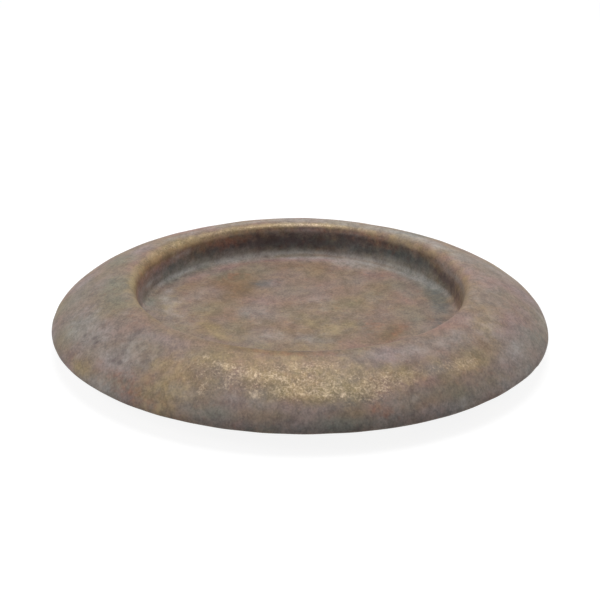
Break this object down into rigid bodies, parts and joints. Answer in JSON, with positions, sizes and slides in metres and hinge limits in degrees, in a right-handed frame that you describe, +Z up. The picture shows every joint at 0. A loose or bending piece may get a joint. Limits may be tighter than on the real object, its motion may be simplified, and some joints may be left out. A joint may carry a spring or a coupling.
{
  "type": "candle plate",
  "caption": "Low round candle plate with a broad rolled rim round a shallow flat recess for a pillar candle, standing on felt pads, in an aged bronze and gold patina.",
  "frame": {"origin": "on the table, under the centre of the plate, at the level of the felt pads' lower faces", "axes": "+Z up along the axis that the plate is turned about, +X to the right and -Y towards the viewer of the picture"},
  "size_m": [0.24, 0.24, 0.03],
  "materials": {
    "aged_bronze_clay": "satin",
    "grey_felt": "matte"
  },
  "bodies": {
    "root": {"plate_body": "aged_bronze_clay", "felt_pad_back_right": "grey_felt", "felt_pad_back_left": "grey_felt", "felt_pad_front_left": "grey_felt", "felt_pad_front_right": "grey_felt"}
  },
  "joints": []
}
